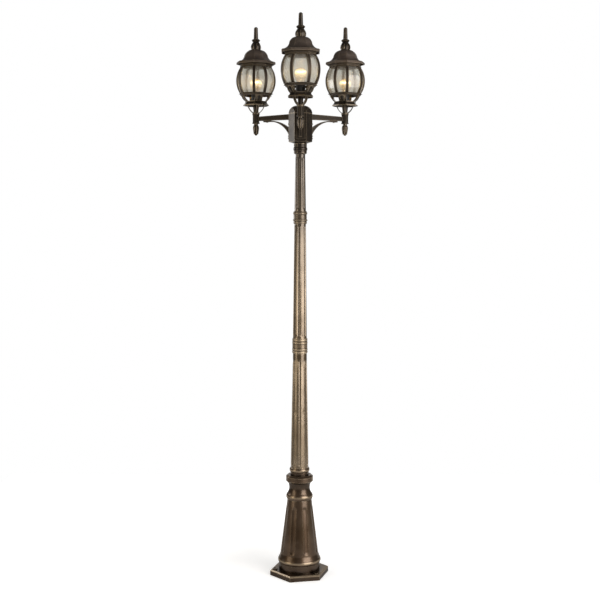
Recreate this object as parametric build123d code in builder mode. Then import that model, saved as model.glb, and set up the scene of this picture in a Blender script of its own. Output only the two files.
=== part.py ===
from build123d import *
import os
from math import cos, pi, radians, sin

# Three-lantern park light on a fluted sectional post. Millimetres, +Z up, ground at z = 0.

os.makedirs("parts", exist_ok=True)

# Ground plate
PLATE_CORNER_R = 127.0
PLATE_T = 24.0
PLATE_BEVEL = 4.0
PLATE_SIDES = 6
PLATE_TURN = 12.0
ANCHOR_CIRCLE_R = 106.0
ANCHOR_HOLE_R = 5.5
ANCHOR_BOSS_R = 11.0
ANCHOR_BOSS_H = 5.0
ANCHORS = 3

# Base casting, from the ground plate up
FOOT_R = 87.0
FOOT_H = 30.0
FOOT_BEAD_H = 21.0
FOOT_BEAD_OUT = 4.0
FLARE_H = 17.0
CONE_BOTTOM_R = 80.5
CONE_TOP_R = 52.0
CONE_H = 234.0
NECK_BEAD_H = 26.0
NECK_BEAD_OUT = 5.0
WAIST_R = 44.3
WAIST_H = 46.0
WAIST_END_R = 50.0
SHOULDER_R = 58.0
SHOULDER_H = 33.0
SHOULDER_EASE = 7.0
CROWN_R = 39.0
CROWN_H = 12.0
CROWN_BEAD_H = 19.0
CROWN_BEAD_OUT = 3.5
BASE_WALL = 6.0

# Post tubes and the collars that join them
LOWER_TUBE_L = 488.0
MIDDLE_TUBE_L = 479.0
UPPER_TUBE_L = 234.0
LOWER_TUBE_R = (38.0, 29.5)
MIDDLE_TUBE_R = (29.4, 24.2)
UPPER_TUBE_R = (24.0, 20.2)
LOWER_TUBE_TURN = 32.0
MIDDLE_TUBE_TURN = 20.0
UPPER_TUBE_TURN = 9.0
LOWER_COLLAR_H = 64.0
UPPER_COLLAR_H = 54.0
COLLAR_EASE = 1.5
LOWER_COLLAR_OUT = 2.2
UPPER_COLLAR_OUT = 3.4
CAPITAL_R = 27.0
CAPITAL_H = 45.0
CAPITAL_EASE_H = 4.5
CAPITAL_BEAD_OUT = 2.4
CAPITAL_BEAD_H = 15.0
CAPITAL_BEAD_Z = 15.0
BASE_SPIGOT_R = 33.0
BASE_SPIGOT_L = 60.0
LOWER_SPIGOT_R = 24.0
UPPER_SPIGOT_R = 19.5
CAPITAL_SPIGOT_R = 16.5
CAPITAL_SPIGOT_L = 12.0
TUBE_WALL = 4.0
SPIGOT_GAP = 0.15

# Collar beads, each as (middle and height as shares of the collar, how far it stands out)
LOWER_BEADS = ((0.10, 0.12, 1.2), (0.26, 0.12, 1.2), (0.70, 0.12, 0.8), (0.88, 0.12, 0.6))
UPPER_BEADS = ((0.12, 0.10, 0.6), (0.30, 0.14, 3.2), (0.82, 0.20, 2.4))

# Round-ended flutes, as the radius of the cut, its depth and the plain lengths below and above it
FLUTES = 6
FLUTE_CUT_R = 9.0
FLUTE_DEPTH = 3.0
LOWER_FLUTE_ENDS = (16.0, 34.0)
MIDDLE_FLUTE_ENDS = (14.0, 13.0)
UPPER_FLUTE_ENDS = (14.0, 17.0)
CONE_FLUTES = 8
CONE_FLUTE_TURN = 22.5
CONE_FLUTE_CUT_R = 34.0
CONE_FLUTE_DEPTH = 2.6
CONE_FLUTE_ENDS = (24.0, 34.0)

# Hub at the top of the post
HUB_CORNER_R = 49.0
HUB_SIDES = 6
HUB_H = 123.0
HUB_UNDERSIDE_H = 7.0
HUB_WALL = 6.0
HUB_FLOOR = 14.0
HUB_DOME_H = 32.0
HUB_DOME_TOP_R = 22.0
HUB_SPIGOT_R = 16.0
HUB_SPIGOT_L = 31.0
HUB_SPIGOT_CLEARANCE = 0.08
HUB_BORE_R = 9.0
CAP_RIM_H = 8.0
CAP_RIM_GAP = 0.3
SET_SCREWS = 3
SET_SCREW_TURN = 90.0
SET_SCREW_R = 3.0
SET_SCREW_L = 9.0
SET_SCREW_GAP = 0.15
SET_SCREW_TIP_GAP = 0.3

# Arms
ARM_TURNS = (270.0, 30.0, 150.0)
ARM_REACH = 218.0
ARM_DROP = 14.0
ARM_FALL = 4.0
ARM_W = 13.0
ARM_ROOT_H = 23.0
ARM_TIP_H = 17.5
ARM_CHANNEL_DEPTH = 2.5
ARM_CHANNEL_MARGIN = 4.0
BACK_PLATE_W = 35.0
BACK_PLATE_H = 108.0
BACK_PLATE_T = 5.0
BACK_PLATE_CORNER = 6.0
BACK_PLATE_LOBE_R = 3.2
BACK_PLATE_LOBES = (0.62, 0.1, 0.0)
BARREL_R = 14.0
BARREL_ABOVE = 22.0
BARREL_BELOW = 19.0
BARREL_RIM_R = 15.6
BARREL_RIM_H = 4.5
BARREL_FLUTES = 10
BARREL_FLUTE_R = 2.0
NIPPLE_R = 5.0
NIPPLE_BORE_R = 3.5
NIPPLE_GAP = 0.2

# Curved brace under each arm, distances measured from the post's axis
BRACE_W = 12.0
BRACE_PAD_START = 146.0
BRACE_PAD_END = 178.0
BRACE_PAD_T = 6.0
BRACE_T = 4.5
BRACE_FOOT_TOP = 49.0
BRACE_FOOT_BOTTOM = 86.0
BRACE_SAG = 20.0
BRACE_SCREW_R = 2.5
BRACE_SCREW_L = 12.0
BRACE_SCREW_HEAD_R = 4.5
BRACE_SCREW_HEAD_H = 2.5
BRACE_SCREW_GAP = 0.2

# Acorn nut under each barrel
ACORN_NECK_R = 8.8
ACORN_NECK_H = 6.0
ACORN_R = 12.3
ACORN_H = 43.0
ACORN_SHOULDER_H = 8.0
ACORN_TIP_R = 4.0
ACORN_HOLE_DEPTH = 22.0

# Strap cage and spacer between barrel and lantern
STRAPS = 4
STRAP_TURN = 45.0
STRAP_W = 11.0
STRAP_T = 3.0
STRAP_RING_R = 15.6
STRAP_RING_H = 4.0
STRAP_TOP_R = 36.5
STRAP_BOW = 8.0
SPACER_R = 10.8
SPACER_L = 45.0

# Lantern sides, wide and narrow flats in turn; apothem is axis to wide flat, corner is axis to rib
FLATS = 8
WIDE_HALF_TURN = 26.0

# Lantern gallery: flared skirt plate with legs
SKIRT_TOP_APOTHEM = 41.0
SKIRT_BOTTOM_APOTHEM = 49.0
SKIRT_H = 19.0
SKIRT_WALL = 3.0
SKIRT_WEB = 4.0
SKIRT_BOW = 2.2
SKIRT_LIP_H = 4.0
LEGS = 4
LEG_W = 32.0
LEG_H = 23.0
LEG_T = 7.5
LEG_BOW = 2.5

# Lantern cage and glass
SILL_H = 11.0
SILL_OUT_APOTHEM = 60.0
SILL_IN_APOTHEM = 51.0
SILL_EASE = 3.0
SILL_TIP_OUT = 6.0
GLASS_H = 106.5
GLASS_BOTTOM_CORNER_R = 64.5
GLASS_BELLY_CORNER_R = 79.5
GLASS_TOP_CORNER_R = 63.0
GLASS_BELLY_SHARE = 0.5
GLASS_T = 3.0
GLASS_TUCK = 3.0
GLASS_TOP_GAP = 0.3
RIB_W = 12.0
RIB_T = 4.7
RIB_INSET = 0.7
RIB_ROOT = 4.0
FRIEZE_OUT_APOTHEM = 61.5
FRIEZE_IN_APOTHEM = 50.5
FRIEZE_BAND_H = 5.5
FRIEZE_GROOVE_H = 3.0
FRIEZE_GROOVE_DEEP = 3.5
FRIEZE_TOP_STEP = 2.5

# Roof and finial
ROOF_H = 54.0
ROOF_LIP_APOTHEM = 74.5
ROOF_LIP_T = 3.5
ROOF_LIP_DROP = 6.0
ROOF_LIP_H = 8.0
ROOF_LIP_ROUND = 2.5
ROOF_SWEEP_APOTHEM = 45.5
ROOF_SWEEP_H = 26.0
ROOF_SWEEP_BOW = 5.0
ROOF_DOME_BOW = 5.5
ROOF_TOP_APOTHEM = 22.0
ROOF_WALL = 4.5
ROOF_SEAT_APOTHEM = 47.0
FINIAL_H = 96.0
FINIAL_FOOT_R = 18.5
FINIAL_KNOB_R = 20.5
FINIAL_KNOB_H = 33.0
FINIAL_NECK_R = 12.5
FINIAL_CUP_R = 18.0
FINIAL_CUP_H = 13.0
FINIAL_SPIRE_R = 9.5
FINIAL_SPIRE_TOP_R = 8.0
FINIAL_TIP_H = 6.0
FINIAL_STUD_R = 4.0
FINIAL_STUD_L = 11.0
FINIAL_STUD_CLEARANCE = 0.08

# Lamp holder and lamp
SOCKET_R = 19.0
SOCKET_H = 30.0
SOCKET_FLOOR = 6.0
CAP_R = 13.0
CAP_H = 25.0
CAP_CLEARANCE = 0.08
BULB_R = 24.0
BULB_H = 65.0
BULB_NECK_R = 12.4
BULB_WALL = 1.2

# Heights that follow from the stack of pieces
FOOT_TOP = PLATE_T + FOOT_H
FOOT_BEAD_TOP = FOOT_TOP + FOOT_BEAD_H
CONE_BOTTOM = FOOT_BEAD_TOP + FLARE_H
CONE_TOP = CONE_BOTTOM + CONE_H
NECK_BEAD_TOP = CONE_TOP + NECK_BEAD_H
WAIST_TOP = NECK_BEAD_TOP + WAIST_H
SHOULDER_TOP = WAIST_TOP + SHOULDER_H
CROWN_TOP = SHOULDER_TOP + CROWN_H
BASE_TOP = CROWN_TOP + CROWN_BEAD_H
LOWER_COLLAR_Z = BASE_TOP + LOWER_TUBE_L
MIDDLE_TUBE_Z = LOWER_COLLAR_Z + LOWER_COLLAR_H
UPPER_COLLAR_Z = MIDDLE_TUBE_Z + MIDDLE_TUBE_L
UPPER_TUBE_Z = UPPER_COLLAR_Z + UPPER_COLLAR_H
CAPITAL_Z = UPPER_TUBE_Z + UPPER_TUBE_L
HUB_Z = CAPITAL_Z + CAPITAL_H
HUB_TOP = HUB_Z + HUB_H
ARM_Z = HUB_TOP - ARM_DROP
ARM_TOP = ARM_Z + ARM_DROP
BARREL_TOP = ARM_Z + BARREL_ABOVE
BARREL_BOTTOM = ARM_Z - BARREL_BELOW
SPACER_Z = BARREL_TOP + STRAP_RING_H
WEB_Z = SPACER_Z + SPACER_L
GALLERY_TOP = WEB_Z + SKIRT_WEB
SKIRT_Z = GALLERY_TOP - SKIRT_H
SILL_Z = GALLERY_TOP + LEG_H
GLASS_Z = SILL_Z + SILL_H
FRIEZE_Z = GLASS_Z + GLASS_H
FRIEZE_H = 3 * FRIEZE_BAND_H + FRIEZE_GROOVE_H
ROOF_Z = FRIEZE_Z + FRIEZE_H
LIP_Z = ROOF_Z - ROOF_LIP_DROP
FINIAL_Z = ROOF_Z + ROOF_H
SOCKET_TOP = GALLERY_TOP + SOCKET_H
CAP_Z = GALLERY_TOP + SOCKET_FLOOR
BULB_Z = CAP_Z + CAP_H

# Radii and distances that follow from the sizes above
HUB_APOTHEM = HUB_CORNER_R * cos(pi / HUB_SIDES)
HUB_FACE_X = HUB_APOTHEM - ARM_REACH
PLATE_FRONT_X = HUB_FACE_X + BACK_PLATE_T
FLAT_TURN = 360.0 / FLATS
NARROW_HALF_TURN = FLAT_TURN - WIDE_HALF_TURN
WIDE_SHARE = cos(radians(WIDE_HALF_TURN))
NARROW_SHARE = cos(radians(NARROW_HALF_TURN))
NARROW_SPREAD = NARROW_SHARE / WIDE_SHARE
RIB_TURNS = [pair * 2 * FLAT_TURN + side * WIDE_HALF_TURN for pair in range(FLATS // 2) for side in (-1, 1)]
OVERSIZE = 2 * ARM_REACH


def outward(turn):
    """Upright plane through the lantern's axis; its x runs outward at this turn."""
    angle = radians(turn)
    return Plane(origin=(0, 0, 0), x_dir=(cos(angle), sin(angle), 0), z_dir=(sin(angle), -cos(angle), 0))


def arm_topside(x):
    """Height of the arm's falling top at a distance x from the lantern's axis."""
    return ARM_TOP - ARM_FALL * (x - PLATE_FRONT_X) / -PLATE_FRONT_X


def arm_underside(x):
    """Height of the tapered arm's underside at a distance x from the lantern's axis."""
    share = (x - PLATE_FRONT_X) / -PLATE_FRONT_X
    return arm_topside(x) - ARM_ROOT_H - (ARM_TIP_H - ARM_ROOT_H) * share


def bowed(start, end, bow):
    """Arc from start to end whose middle stands off the straight line by bow, to its left."""
    return SagittaArc(start, end, bow)


def octagon(draw_half):
    """Eight-sided solid whose flats follow a half outline; the narrow flats stand further out."""
    with BuildPart() as solid:
        for index in range(FLATS // 2):
            with BuildSketch(outward(index * FLAT_TURN)):
                with BuildLine():
                    draw_half(NARROW_SPREAD if index % 2 else 1.0)
                    mirror(about=Plane.YZ)
                make_face()
            extrude(amount=OVERSIZE, both=True, mode=Mode.INTERSECT if index else Mode.ADD)
    return solid.part


def octagon_block(apothem, bottom, top):
    """Plain eight-sided block between two heights."""
    def half(spread):
        Polyline((0, bottom), (apothem * spread, bottom), (apothem * spread, top), (0, top))
    return octagon(half)


def save(piece, name):
    """Label a finished piece and write it."""
    piece.label = name
    export_step(piece, f"parts/{name}.step")


def save_at_arms(piece, name):
    """Write one copy of a lantern-frame piece at the end of each arm."""
    for number, turn in enumerate(ARM_TURNS, start=1):
        angle = radians(turn)
        outward_dir = (cos(angle), sin(angle), 0)
        station = Plane(origin=Vector(*outward_dir) * ARM_REACH, x_dir=outward_dir, z_dir=(0, 0, 1))
        save(station.location * piece, f"{name}_{number}")


def flute_cutters(bottom, length, radii, count, turn, cut_r, depth, ends):
    """Round-ended bars that cut flutes along a taper, one for each flute."""
    bottom_r, top_r = radii
    fall = (top_r - bottom_r) / length
    low_r = bottom_r + fall * ends[0] + cut_r - depth
    high_r = bottom_r + fall * (length - ends[1]) + cut_r - depth
    run = Vector(high_r - low_r, 0, length - ends[0] - ends[1])
    with BuildPart() as bar:
        with BuildSketch(Plane.XZ):
            with BuildLine():
                CenterArc((0, 0), cut_r, -90, 90)
                Line((cut_r, 0), (cut_r, run.length))
                CenterArc((0, run.length), cut_r, 0, 90)
                Line((0, run.length + cut_r), (0, -cut_r))
            make_face()
        revolve(axis=Axis.Z)
    cutters = []
    for index in range(count):
        angle = radians(turn + index * 360.0 / count)
        out = Vector(cos(angle), sin(angle), 0)
        low = out * low_r + Vector(0, 0, bottom + ends[0])
        lean = out * run.X + Vector(0, 0, run.Z)
        cutters.append(Plane(origin=low, x_dir=out.cross(lean), z_dir=lean).location * bar.part)
    return cutters


# Base casting: hexagonal plate, foot, cone, waist and crown, hollow inside
cone_flutes = flute_cutters(
    CONE_BOTTOM,
    CONE_H,
    (CONE_BOTTOM_R, CONE_TOP_R),
    CONE_FLUTES,
    CONE_FLUTE_TURN,
    CONE_FLUTE_CUT_R,
    CONE_FLUTE_DEPTH,
    CONE_FLUTE_ENDS,
)
with BuildPart() as base_casting:
    with BuildSketch():
        RegularPolygon(PLATE_CORNER_R, PLATE_SIDES, rotation=PLATE_TURN)
    extrude(amount=PLATE_T)
    chamfer(base_casting.faces().sort_by(Axis.Z)[-1].edges(), PLATE_BEVEL)
    with PolarLocations(ANCHOR_CIRCLE_R, ANCHORS, start_angle=PLATE_TURN + 360.0 / PLATE_SIDES):
        with Locations((0, 0, PLATE_T)):
            Cylinder(ANCHOR_BOSS_R, ANCHOR_BOSS_H, align=(Align.CENTER, Align.CENTER, Align.MIN))
    with BuildSketch(Plane.XZ):
        with BuildLine():
            Line((0, 0), (FOOT_R, 0))
            Line((FOOT_R, 0), (FOOT_R, FOOT_TOP))
            bowed((FOOT_R, FOOT_TOP), (FOOT_R, FOOT_BEAD_TOP), -FOOT_BEAD_OUT)
            Line((FOOT_R, FOOT_BEAD_TOP), (CONE_BOTTOM_R, CONE_BOTTOM))
            Line((CONE_BOTTOM_R, CONE_BOTTOM), (CONE_TOP_R, CONE_TOP))
            bowed((CONE_TOP_R, CONE_TOP), (CONE_TOP_R, NECK_BEAD_TOP), -NECK_BEAD_OUT)
            ThreePointArc(
                (CONE_TOP_R, NECK_BEAD_TOP),
                (WAIST_R, NECK_BEAD_TOP + WAIST_H / 2),
                (WAIST_END_R, WAIST_TOP),
            )
            Line((WAIST_END_R, WAIST_TOP), (SHOULDER_R, WAIST_TOP + SHOULDER_EASE))
            Line((SHOULDER_R, WAIST_TOP + SHOULDER_EASE), (SHOULDER_R, SHOULDER_TOP - SHOULDER_EASE))
            Line((SHOULDER_R, SHOULDER_TOP - SHOULDER_EASE), (WAIST_END_R, SHOULDER_TOP))
            Line((WAIST_END_R, SHOULDER_TOP), (CROWN_R, SHOULDER_TOP))
            Line((CROWN_R, SHOULDER_TOP), (CROWN_R, CROWN_TOP))
            bowed((CROWN_R, CROWN_TOP), (CROWN_R, BASE_TOP), -CROWN_BEAD_OUT)
            Line((CROWN_R, BASE_TOP), (0, BASE_TOP))
            Line((0, BASE_TOP), (0, 0))
        make_face()
    revolve(axis=Axis.Z)
    add(cone_flutes, mode=Mode.SUBTRACT)
    with BuildSketch(Plane.XZ):
        with BuildLine():
            Polyline(
                (0, 0),
                (FOOT_R - BASE_WALL, 0),
                (CONE_BOTTOM_R - BASE_WALL, CONE_BOTTOM),
                (CONE_TOP_R - BASE_WALL, CONE_TOP),
                (BASE_SPIGOT_R - BASE_WALL, NECK_BEAD_TOP),
                (BASE_SPIGOT_R - BASE_WALL, BASE_TOP - BASE_SPIGOT_L),
                (BASE_SPIGOT_R + SPIGOT_GAP, BASE_TOP - BASE_SPIGOT_L),
                (BASE_SPIGOT_R + SPIGOT_GAP, BASE_TOP),
                (0, BASE_TOP),
                (0, 0),
            )
        make_face()
    revolve(axis=Axis.Z, mode=Mode.SUBTRACT)
    with PolarLocations(ANCHOR_CIRCLE_R, ANCHORS, start_angle=PLATE_TURN + 360.0 / PLATE_SIDES):
        Cylinder(
            ANCHOR_HOLE_R,
            PLATE_T + ANCHOR_BOSS_H,
            align=(Align.CENTER, Align.CENTER, Align.MIN),
            mode=Mode.SUBTRACT,
        )
save(base_casting.part, "base_casting")


def fluted_tube(bottom, length, radii, foot, head, turn, flute_ends):
    """Tapered hollow tube with a spigot (radius, length) at each end and flutes along it."""
    bottom_r, top_r = radii
    top = bottom + length
    flutes = flute_cutters(bottom, length, radii, FLUTES, turn, FLUTE_CUT_R, FLUTE_DEPTH, flute_ends)
    with BuildPart() as tube:
        with BuildSketch(Plane.XZ):
            with BuildLine():
                Polyline(
                    (foot[0] - TUBE_WALL, bottom - foot[1]),
                    (foot[0], bottom - foot[1]),
                    (foot[0], bottom),
                    (bottom_r, bottom),
                    (top_r, top),
                    (head[0], top),
                    (head[0], top + head[1]),
                    (head[0] - TUBE_WALL, top + head[1]),
                    close=True,
                )
            make_face()
        revolve(axis=Axis.Z)
        add(flutes, mode=Mode.SUBTRACT)
    return tube.part


def collar(bottom, height, bottom_r, top_r, spigot_r, out, beads):
    """Turned sleeve with beads around it; the two tubes' spigots meet inside it."""
    top = bottom + height
    bore_r = spigot_r + SPIGOT_GAP

    def face(share):
        return (bottom_r + (top_r - bottom_r) * share + out, bottom + share * height)

    with BuildPart() as sleeve:
        with BuildSketch(Plane.XZ):
            with BuildLine():
                Polyline((bore_r, top), (bore_r, bottom), (bottom_r + out - COLLAR_EASE, bottom))
                Line((bottom_r + out - COLLAR_EASE, bottom), face(COLLAR_EASE / height))
                last = face(COLLAR_EASE / height)
                for middle, tall, stand_out in beads:
                    Line(last, face(middle - tall / 2))
                    bowed(face(middle - tall / 2), face(middle + tall / 2), -stand_out)
                    last = face(middle + tall / 2)
                Line(last, face(1 - COLLAR_EASE / height))
                Line(face(1 - COLLAR_EASE / height), (top_r + out - COLLAR_EASE, top))
                Line((top_r + out - COLLAR_EASE, top), (bore_r, top))
            make_face()
        revolve(axis=Axis.Z)
    return sleeve.part


# Post: three fluted tubes joined by two turned collars
BASE_SPIGOT = (BASE_SPIGOT_R, BASE_SPIGOT_L)
LOWER_SPIGOT = (LOWER_SPIGOT_R, LOWER_COLLAR_H / 2)
UPPER_SPIGOT = (UPPER_SPIGOT_R, UPPER_COLLAR_H / 2)
CAPITAL_SPIGOT = (CAPITAL_SPIGOT_R, CAPITAL_SPIGOT_L)
lower_post = fluted_tube(
    BASE_TOP, LOWER_TUBE_L, LOWER_TUBE_R, BASE_SPIGOT, LOWER_SPIGOT, LOWER_TUBE_TURN, LOWER_FLUTE_ENDS
)
save(lower_post, "lower_post")
lower_collar = collar(
    LOWER_COLLAR_Z,
    LOWER_COLLAR_H,
    LOWER_TUBE_R[1],
    MIDDLE_TUBE_R[0],
    LOWER_SPIGOT_R,
    LOWER_COLLAR_OUT,
    LOWER_BEADS,
)
save(lower_collar, "lower_collar")
middle_post = fluted_tube(
    MIDDLE_TUBE_Z,
    MIDDLE_TUBE_L,
    MIDDLE_TUBE_R,
    LOWER_SPIGOT,
    UPPER_SPIGOT,
    MIDDLE_TUBE_TURN,
    MIDDLE_FLUTE_ENDS,
)
save(middle_post, "middle_post")
upper_collar = collar(
    UPPER_COLLAR_Z,
    UPPER_COLLAR_H,
    MIDDLE_TUBE_R[1],
    UPPER_TUBE_R[0],
    UPPER_SPIGOT_R,
    UPPER_COLLAR_OUT,
    UPPER_BEADS,
)
save(upper_collar, "upper_collar")
upper_post = fluted_tube(
    UPPER_TUBE_Z,
    UPPER_TUBE_L,
    UPPER_TUBE_R,
    UPPER_SPIGOT,
    CAPITAL_SPIGOT,
    UPPER_TUBE_TURN,
    UPPER_FLUTE_ENDS,
)
save(upper_post, "upper_post")

# Capital: turned cap on the post that the hub's spigot turns in, held by set screws
BEAD_BOTTOM = CAPITAL_Z + CAPITAL_BEAD_Z
BEAD_TOP = BEAD_BOTTOM + CAPITAL_BEAD_H
SCREW_Z = (BEAD_TOP + HUB_Z) / 2
SCREW_OUT_R = CAPITAL_R
SCREW_IN_R = HUB_SPIGOT_R + SET_SCREW_TIP_GAP
LOWER_BORE_R = CAPITAL_SPIGOT_R + SPIGOT_GAP
UPPER_BORE_R = HUB_SPIGOT_R + HUB_SPIGOT_CLEARANCE
BORE_STEP = CAPITAL_Z + CAPITAL_SPIGOT_L
with BuildPart() as capital:
    with BuildSketch(Plane.XZ):
        with BuildLine():
            Line((LOWER_BORE_R, CAPITAL_Z), (UPPER_TUBE_R[1], CAPITAL_Z))
            Line((UPPER_TUBE_R[1], CAPITAL_Z), (CAPITAL_R, CAPITAL_Z + CAPITAL_EASE_H))
            Line((CAPITAL_R, CAPITAL_Z + CAPITAL_EASE_H), (CAPITAL_R, BEAD_BOTTOM))
            bowed((CAPITAL_R, BEAD_BOTTOM), (CAPITAL_R, BEAD_TOP), -CAPITAL_BEAD_OUT)
            Line((CAPITAL_R, BEAD_TOP), (CAPITAL_R, HUB_Z))
            Line((CAPITAL_R, HUB_Z), (UPPER_BORE_R, HUB_Z))
            Line((UPPER_BORE_R, HUB_Z), (UPPER_BORE_R, BORE_STEP))
            Line((UPPER_BORE_R, BORE_STEP), (LOWER_BORE_R, BORE_STEP))
            Line((LOWER_BORE_R, BORE_STEP), (LOWER_BORE_R, CAPITAL_Z))
        make_face()
    revolve(axis=Axis.Z)
    for index in range(SET_SCREWS):
        radial = outward(SET_SCREW_TURN + index * 360.0 / SET_SCREWS)
        start = radial.x_dir * HUB_SPIGOT_R / 2 + Vector(0, 0, SCREW_Z)
        with BuildSketch(Plane(origin=start, x_dir=(0, 0, 1), z_dir=radial.x_dir)):
            Circle(SET_SCREW_R + SET_SCREW_GAP)
        extrude(amount=SCREW_OUT_R, mode=Mode.SUBTRACT)
save(capital.part, "post_capital")

with BuildPart() as set_screws:
    for index in range(SET_SCREWS):
        radial = outward(SET_SCREW_TURN + index * 360.0 / SET_SCREWS)
        seat = radial.x_dir * SCREW_IN_R + Vector(0, 0, SCREW_Z)
        with Locations(Plane(origin=seat, z_dir=radial.x_dir)):
            Cylinder(SET_SCREW_R, SET_SCREW_L, align=(Align.CENTER, Align.CENTER, Align.MIN))
save(set_screws.part, "capital_set_screws")

# Hub: hollow hexagonal box on a spigot, open at the top for wiring
with BuildPart() as hub:
    with BuildSketch(Plane.XY.offset(HUB_Z)):
        RegularPolygon(HUB_CORNER_R, HUB_SIDES)
    extrude(amount=HUB_H)
    with BuildSketch(Plane.XZ):
        with BuildLine():
            Polyline(
                (0, HUB_Z),
                (CAPITAL_R, HUB_Z),
                (HUB_CORNER_R, HUB_Z + HUB_UNDERSIDE_H),
                (HUB_CORNER_R, HUB_TOP),
                (0, HUB_TOP),
                close=True,
            )
        make_face()
    revolve(axis=Axis.Z, mode=Mode.INTERSECT)
    with BuildSketch(Plane.XY.offset(HUB_Z + HUB_FLOOR)):
        RegularPolygon(HUB_CORNER_R - HUB_WALL, HUB_SIDES)
    extrude(amount=HUB_H - HUB_FLOOR, mode=Mode.SUBTRACT)
    with BuildSketch(Plane.XY.offset(HUB_Z)):
        Circle(HUB_SPIGOT_R)
    extrude(amount=-HUB_SPIGOT_L)
    with BuildSketch(Plane.XY.offset(HUB_Z - HUB_SPIGOT_L)):
        Circle(HUB_BORE_R)
    extrude(amount=HUB_SPIGOT_L + HUB_FLOOR, mode=Mode.SUBTRACT)
save(hub.part, "hub")

# Hub cap: domed lid with a rim that drops into the hub
with BuildPart() as hub_cap:
    with BuildSketch(Plane.XY.offset(HUB_TOP)):
        RegularPolygon(HUB_CORNER_R, HUB_SIDES)
    extrude(amount=HUB_DOME_H)
    with BuildSketch(Plane.XZ):
        with BuildLine():
            Line((0, HUB_TOP), (HUB_CORNER_R, HUB_TOP))
            TangentArc((HUB_CORNER_R, HUB_TOP), (HUB_DOME_TOP_R, HUB_TOP + HUB_DOME_H), tangent=(0, 1))
            Line((HUB_DOME_TOP_R, HUB_TOP + HUB_DOME_H), (0, HUB_TOP + HUB_DOME_H))
            Line((0, HUB_TOP + HUB_DOME_H), (0, HUB_TOP))
        make_face()
    revolve(axis=Axis.Z, mode=Mode.INTERSECT)
    with BuildSketch(Plane.XY.offset(HUB_TOP)):
        RegularPolygon(HUB_CORNER_R - HUB_WALL - CAP_RIM_GAP, HUB_SIDES)
    extrude(amount=-CAP_RIM_H)
    with BuildSketch(Plane.XZ):
        with BuildLine():
            Polyline(
                (0, HUB_TOP - CAP_RIM_H),
                (HUB_APOTHEM - 2 * HUB_WALL, HUB_TOP - CAP_RIM_H),
                (HUB_DOME_TOP_R - HUB_WALL, HUB_TOP + HUB_DOME_H - HUB_WALL),
                (0, HUB_TOP + HUB_DOME_H - HUB_WALL),
                close=True,
            )
        make_face()
    revolve(axis=Axis.Z, mode=Mode.SUBTRACT)
save(hub_cap.part, "hub_cap")

# Arm: back plate, tapered bar and fluted barrel in one casting
PAD_MIDDLE_X = (BRACE_PAD_START + BRACE_PAD_END) / 2 - ARM_REACH
PAD_UNDERSIDE = arm_underside(BRACE_PAD_START - ARM_REACH) - BRACE_PAD_T
with BuildPart() as arm:
    with BuildSketch(Plane.XY.offset(BARREL_BOTTOM)):
        Circle(BARREL_R)
        with PolarLocations(BARREL_R, BARREL_FLUTES):
            Circle(BARREL_FLUTE_R, mode=Mode.SUBTRACT)
    extrude(amount=BARREL_TOP - BARREL_BOTTOM)
    for rim_z in (BARREL_BOTTOM, BARREL_TOP - BARREL_RIM_H):
        with BuildSketch(Plane.XY.offset(rim_z)):
            Circle(BARREL_RIM_R)
        extrude(amount=BARREL_RIM_H)
    with BuildSketch(Plane.XZ):
        with BuildLine():
            Polyline(
                (HUB_FACE_X, ARM_TOP),
                (PLATE_FRONT_X, ARM_TOP),
                (0, arm_topside(0)),
                (0, arm_underside(0)),
                (PLATE_FRONT_X, arm_underside(PLATE_FRONT_X)),
                (HUB_FACE_X, arm_underside(PLATE_FRONT_X)),
                close=True,
            )
        make_face()
    extrude(amount=ARM_W / 2, both=True)
    channel_start = PLATE_FRONT_X + ARM_CHANNEL_MARGIN
    channel_end = -BARREL_RIM_R - ARM_CHANNEL_MARGIN
    for side in (-1, 1):
        with BuildSketch(Plane.XZ.offset(side * ARM_W / 2)):
            with BuildLine():
                Polyline(
                    (channel_start, arm_topside(channel_start) - ARM_CHANNEL_MARGIN),
                    (channel_end, arm_topside(channel_end) - ARM_CHANNEL_MARGIN),
                    (channel_end, arm_underside(channel_end) + ARM_CHANNEL_MARGIN),
                    (channel_start, arm_underside(channel_start) + ARM_CHANNEL_MARGIN),
                    close=True,
                )
            make_face()
        extrude(amount=-side * ARM_CHANNEL_DEPTH, mode=Mode.SUBTRACT)
    plate_middle = HUB_TOP - BACK_PLATE_H / 2
    with BuildSketch(Plane(origin=(HUB_FACE_X, 0, plate_middle), x_dir=(0, 1, 0), z_dir=(1, 0, 0))):
        RectangleRounded(BACK_PLATE_W, BACK_PLATE_H, BACK_PLATE_CORNER)
        for share in BACK_PLATE_LOBES:
            lobe_y = (share - 0.5) * (BACK_PLATE_H - 2 * BACK_PLATE_CORNER)
            with Locations((-BACK_PLATE_W / 2, lobe_y), (BACK_PLATE_W / 2, lobe_y)):
                Circle(BACK_PLATE_LOBE_R)
    extrude(amount=BACK_PLATE_T)
    with BuildSketch(Plane.XY.offset(BARREL_BOTTOM)):
        Circle(NIPPLE_R + NIPPLE_GAP)
    extrude(amount=BARREL_TOP - BARREL_BOTTOM, mode=Mode.SUBTRACT)
    with BuildSketch(Plane.XY.offset(PAD_UNDERSIDE)):
        with Locations((PAD_MIDDLE_X, 0)):
            Circle(BRACE_SCREW_R + BRACE_SCREW_GAP)
    extrude(amount=BRACE_SCREW_L, mode=Mode.SUBTRACT)
save_at_arms(arm.part, "arm")

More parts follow.
